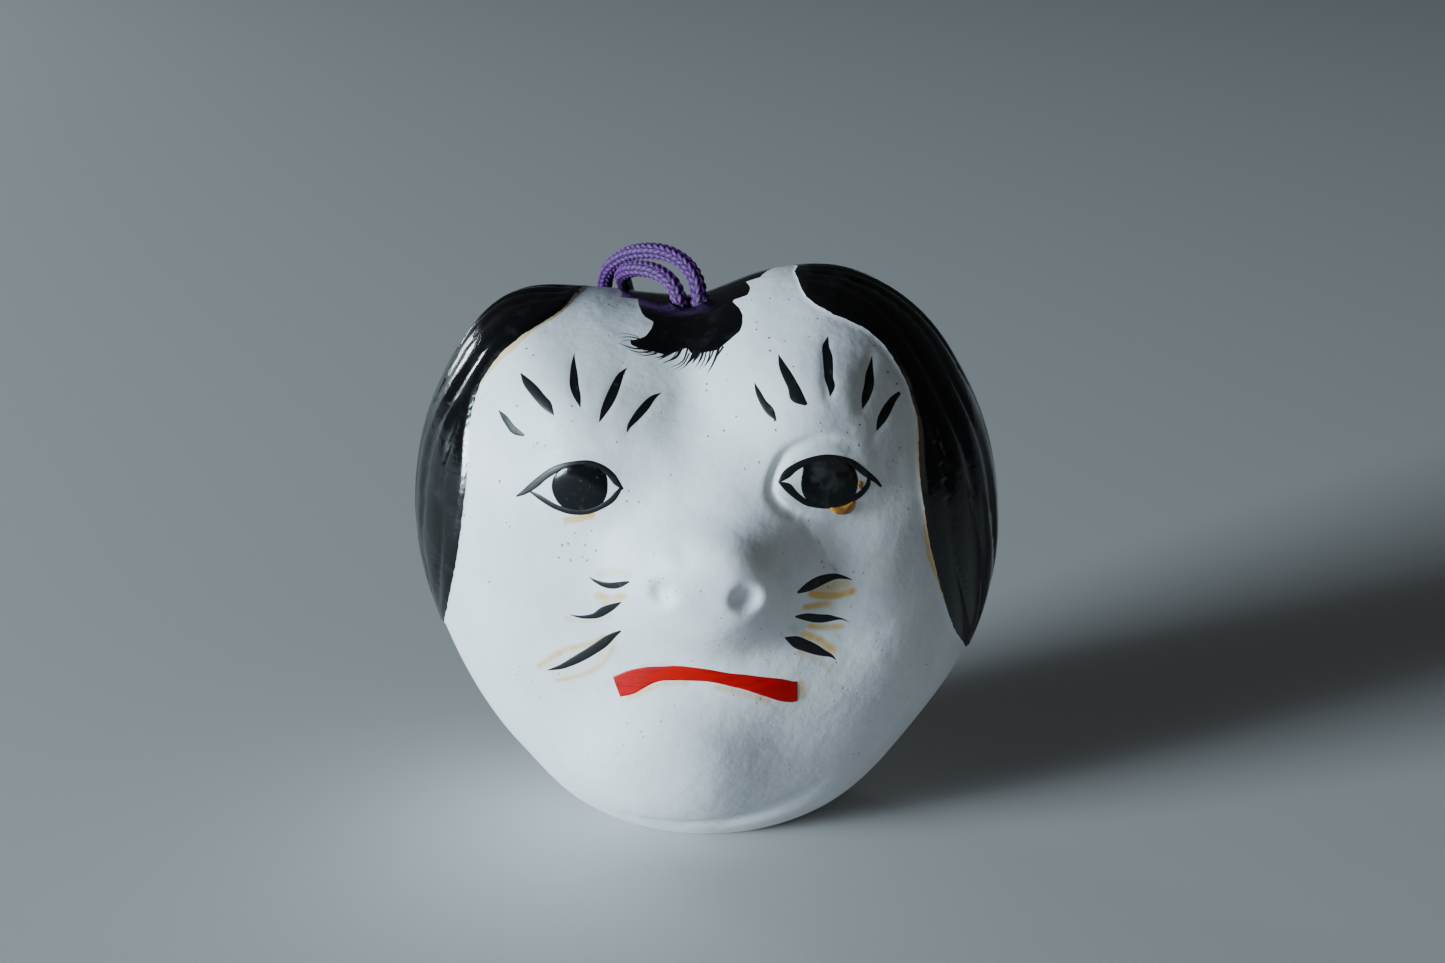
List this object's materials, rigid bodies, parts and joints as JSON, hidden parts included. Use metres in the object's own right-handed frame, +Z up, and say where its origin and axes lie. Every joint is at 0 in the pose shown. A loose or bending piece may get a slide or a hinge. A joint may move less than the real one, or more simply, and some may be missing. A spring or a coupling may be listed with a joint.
{
  "type": "clay bell",
  "caption": "Hollow clay bell shaped as a folk-toy head, with a sound slit, a loose pellet and a braided cord loop.",
  "frame": {"origin": "middle of the flat foot, on the seam between the two pressed halves", "axes": "+Z up, face towards -Y, +X on the right of someone who looks at the face"},
  "size_m": [0.0725, 0.0569, 0.0728],
  "materials": {
    "white_ground": "white shell-lime ground, eggshell sheen, fine pinholes",
    "black_hair": "glossy black paint with combed grooves",
    "lip_red": "glossy red paint",
    "ochre_paint": "thin ochre underpaint, a glossy bead under one eye",
    "bare_clay": "unpainted low-fired clay, matt",
    "purple_cord": "round braid of lustrous purple yarn"
  },
  "bodies": {
    "shell": {"face_shell": "white_ground", "back_shell": "black_hair", "hanging_cord": "purple_cord", "cord_knot": "purple_cord"},
    "pellet": {"clay_pellet": "bare_clay"}
  },
  "joints": [
    {"name": "pellet_roll", "type": "hinge", "parent": "shell", "child": "pellet", "pos_m": [0, 0, 0.036], "axis": [0, 1, 0], "range_deg": [-70, 70]}
  ]
}
